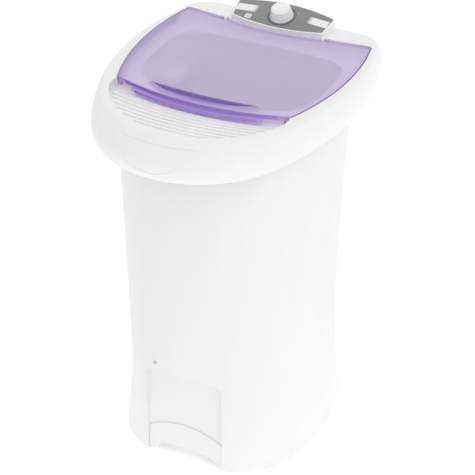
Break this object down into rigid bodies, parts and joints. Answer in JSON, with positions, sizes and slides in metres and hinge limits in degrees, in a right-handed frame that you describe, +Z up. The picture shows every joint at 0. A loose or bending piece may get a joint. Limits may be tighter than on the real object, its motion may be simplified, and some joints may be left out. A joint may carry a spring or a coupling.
{
  "type": "semi-automatic washing machine",
  "caption": "Top-loading plastic washing tub: waisted cabinet, ribbed scrubbing board, tinted lid hinged at the back, timer knob, and an agitator driven by a belt.",
  "frame": {"origin": "on the floor under the middle of the overall box", "axes": "+Z up, -Y the front with the scrubbing board, +X to the right of someone facing the front"},
  "size_m": [0.5242, 0.6156, 0.898],
  "materials": {
    "white_plastic": "smooth moulded, satin",
    "tub_plastic": "smooth moulded",
    "lid_plastic": "polished, see-through lilac",
    "plate": "printed grey plate",
    "knob": "polished",
    "agitator_plastic": "smooth moulded",
    "filter_plastic": "moulded",
    "mesh": "woven nylon",
    "dark_plastic": "moulded",
    "grey_plastic": "moulded",
    "hose_plastic": "flexible tube",
    "black_rubber": "moulded",
    "zinc_steel": "zinc plated",
    "steel": "turned",
    "laminations": "varnished stack",
    "bronze": "sintered",
    "cast_aluminium": "cast and turned",
    "motor_paint": "dark enamel",
    "bracket_paint": "powder coat"
  },
  "bodies": {
    "frame": {"cabinet": "white_plastic", "top_housing": "white_plastic", "base_cover": "grey_plastic", "wash_tub": "tub_plastic", "lid_pads": "black_rubber", "control_plate": "plate", "timer_body": "dark_plastic", "timer_screws": "zinc_steel", "drain_grille": "filter_plastic", "motor_bracket": "bracket_paint", "bracket_screws": "zinc_steel", "bearing_housing": "cast_aluminium", "shaft_bushes": "bronze", "shaft_seal": "black_rubber", "tub_gasket": "black_rubber", "ring_nut": "dark_plastic", "flange_bolts": "zinc_steel", "drive_belt": "black_rubber", "motor_upper_cover": "motor_paint", "motor_lower_cover": "motor_paint", "motor_stator": "laminations", "motor_tie_bolts": "zinc_steel", "motor_grommets": "black_rubber", "motor_bolts": "zinc_steel", "motor_nuts": "zinc_steel", "capacitor": "cast_aluminium", "capacitor_clip": "zinc_steel", "front_screw": "zinc_steel", "drain_hose": "hose_plastic", "drain_outlet": "dark_plastic", "outlet_nut": "dark_plastic", "hose_clamps": "zinc_steel", "cord_gland": "dark_plastic", "housing_screws": "zinc_steel", "cover_screws": "zinc_steel"},
    "lid": {"lid": "lid_plastic"},
    "knob": {"timer_knob": "knob", "timer_shaft": "steel"},
    "agitator": {"agitator": "agitator_plastic", "agitator_cap": "agitator_plastic", "agitator_screw": "zinc_steel", "agitator_shaft": "steel", "driven_pulley": "cast_aluminium", "pulley_nut": "zinc_steel"},
    "motor_rotor": {"motor_shaft": "steel", "motor_pulley": "cast_aluminium"},
    "lint_filter": {"filter_frame": "filter_plastic", "filter_mesh": "mesh"}
  },
  "joints": [
    {"name": "lid_hinge", "type": "hinge", "parent": "frame", "child": "lid", "pos_m": [0, 0.22918, 0.85367], "axis": [-1, 0, 0], "range_deg": [0, 80]},
    {"name": "timer_turn", "type": "hinge", "parent": "frame", "child": "knob", "pos_m": [0, 0.26304, 0.8697], "axis": [0, 0.289, -0.9573], "range_deg": [0, 300]},
    {"name": "agitator_spin", "type": "hinge", "parent": "frame", "child": "agitator", "pos_m": [0, 0.06, 0.45], "axis": [0, 0, 1], "continuous": true},
    {"name": "motor_spin", "type": "hinge", "parent": "frame", "child": "motor_rotor", "pos_m": [0, -0.09, 0.35], "axis": [0, 0, 1], "continuous": true},
    {"name": "filter_slide", "type": "slide", "parent": "frame", "child": "lint_filter", "axis": [0, 0, 1], "range_m": [0, 0.06]}
  ],
  "couplings": [
    {"joint": "motor_spin", "follows": "agitator_spin", "ratio": 4.4197}
  ]
}
